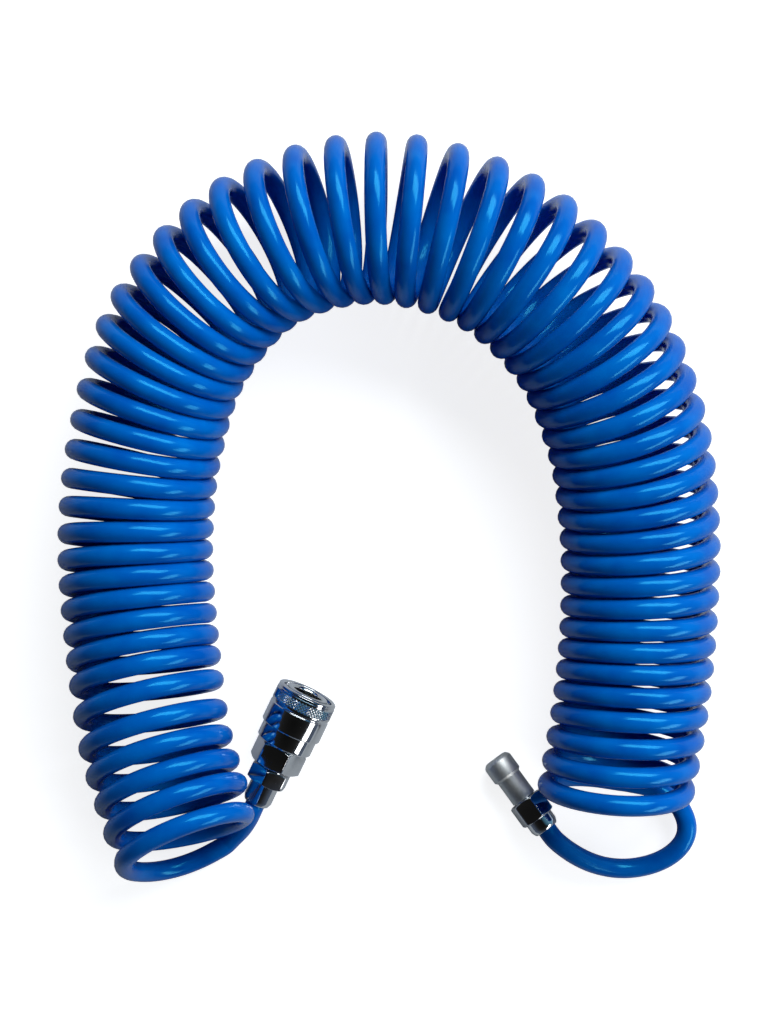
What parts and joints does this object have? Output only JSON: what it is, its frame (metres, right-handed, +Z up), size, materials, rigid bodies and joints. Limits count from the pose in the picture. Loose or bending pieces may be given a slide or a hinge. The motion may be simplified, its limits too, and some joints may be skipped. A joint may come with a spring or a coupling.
{
  "type": "coiled air hose",
  "caption": "Blue recoil air hose coiled tight and bent into an arch, with a knurled quick-connect socket on one end and its plug on the other.",
  "frame": {"origin": "middle of the part's outline on the floor it lies on", "axes": "+Y from the open ends to the top of the arch, +X from the socket's leg to the plug's leg, +Z up from the floor"},
  "size_m": [0.2709, 0.3143, 0.068],
  "materials": {
    "polyurethane_tube": "glossy, slightly see-through tube",
    "plated_brass": "bright nickel plate",
    "plated_steel": "bright nickel plate, knurled on the sleeve",
    "spring_steel": "bare steel",
    "bare_brass": "turned brass",
    "nitrile_rubber": "matte black"
  },
  "bodies": {
    "hose": {"hose_coil": "polyurethane_tube", "socket_lead": "polyurethane_tube", "plug_lead": "polyurethane_tube", "socket_body": "plated_brass", "stop_ring": "spring_steel", "packing_seal": "nitrile_rubber", "valve_spring": "spring_steel", "rear_adaptor": "plated_brass", "adaptor_gasket": "nitrile_rubber", "socket_hose_nut": "plated_brass", "plug_body": "plated_steel", "plug_hose_nut": "plated_brass"},
    "sleeve_carrier": {"sleeve_spring": "spring_steel"},
    "release_sleeve": {"release_sleeve": "plated_steel"},
    "valve": {"valve_poppet": "bare_brass", "poppet_seal": "nitrile_rubber"},
    "ball_1": {"locking_ball_1": "spring_steel"},
    "ball_2": {"locking_ball_2": "spring_steel"},
    "ball_3": {"locking_ball_3": "spring_steel"},
    "ball_4": {"locking_ball_4": "spring_steel"},
    "ball_5": {"locking_ball_5": "spring_steel"},
    "ball_6": {"locking_ball_6": "spring_steel"}
  },
  "joints": [
    {"name": "sleeve_slide", "type": "slide", "parent": "hose", "child": "sleeve_carrier", "axis": [-0.4289, -0.9033, 0.0087], "range_m": [0, 0.004], "stiffness_N_per_m": 1500, "springref_m": -0.003, "deforming": ["sleeve_spring"]},
    {"name": "sleeve_spin", "type": "hinge", "parent": "sleeve_carrier", "child": "release_sleeve", "pos_m": [-0.03786, -0.08213, 0.01348], "axis": [0.4289, 0.9033, -0.0087], "continuous": true},
    {"name": "valve_slide", "type": "slide", "parent": "hose", "child": "valve", "axis": [-0.4289, -0.9033, 0.0087], "range_m": [0, 0.004], "stiffness_N_per_m": 800, "springref_m": -0.003, "deforming": ["valve_spring"]},
    {"name": "ball_1_slide", "type": "slide", "parent": "hose", "child": "ball_1", "axis": [-0.0037, -0.0079, -1], "range_m": [0, 0.0011]},
    {"name": "ball_2_slide", "type": "slide", "parent": "hose", "child": "ball_2", "axis": [-0.7842, 0.3675, -0.5], "range_m": [0, 0.0011]},
    {"name": "ball_3_slide", "type": "slide", "parent": "hose", "child": "ball_3", "axis": [-0.7804, 0.3754, 0.5], "range_m": [0, 0.0011]},
    {"name": "ball_4_slide", "type": "slide", "parent": "hose", "child": "ball_4", "axis": [0.0037, 0.0079, 1], "range_m": [0, 0.0011]},
    {"name": "ball_5_slide", "type": "slide", "parent": "hose", "child": "ball_5", "axis": [0.7842, -0.3675, 0.5], "range_m": [0, 0.0011]},
    {"name": "ball_6_slide", "type": "slide", "parent": "hose", "child": "ball_6", "axis": [0.7804, -0.3754, -0.5], "range_m": [0, 0.0011]}
  ],
  "couplings": [
    {"joint": "ball_1_slide", "follows": "sleeve_slide", "ratio": 0.275},
    {"joint": "ball_2_slide", "follows": "sleeve_slide", "ratio": 0.275},
    {"joint": "ball_3_slide", "follows": "sleeve_slide", "ratio": 0.275},
    {"joint": "ball_4_slide", "follows": "sleeve_slide", "ratio": 0.275},
    {"joint": "ball_5_slide", "follows": "sleeve_slide", "ratio": 0.275},
    {"joint": "ball_6_slide", "follows": "sleeve_slide", "ratio": 0.275}
  ]
}
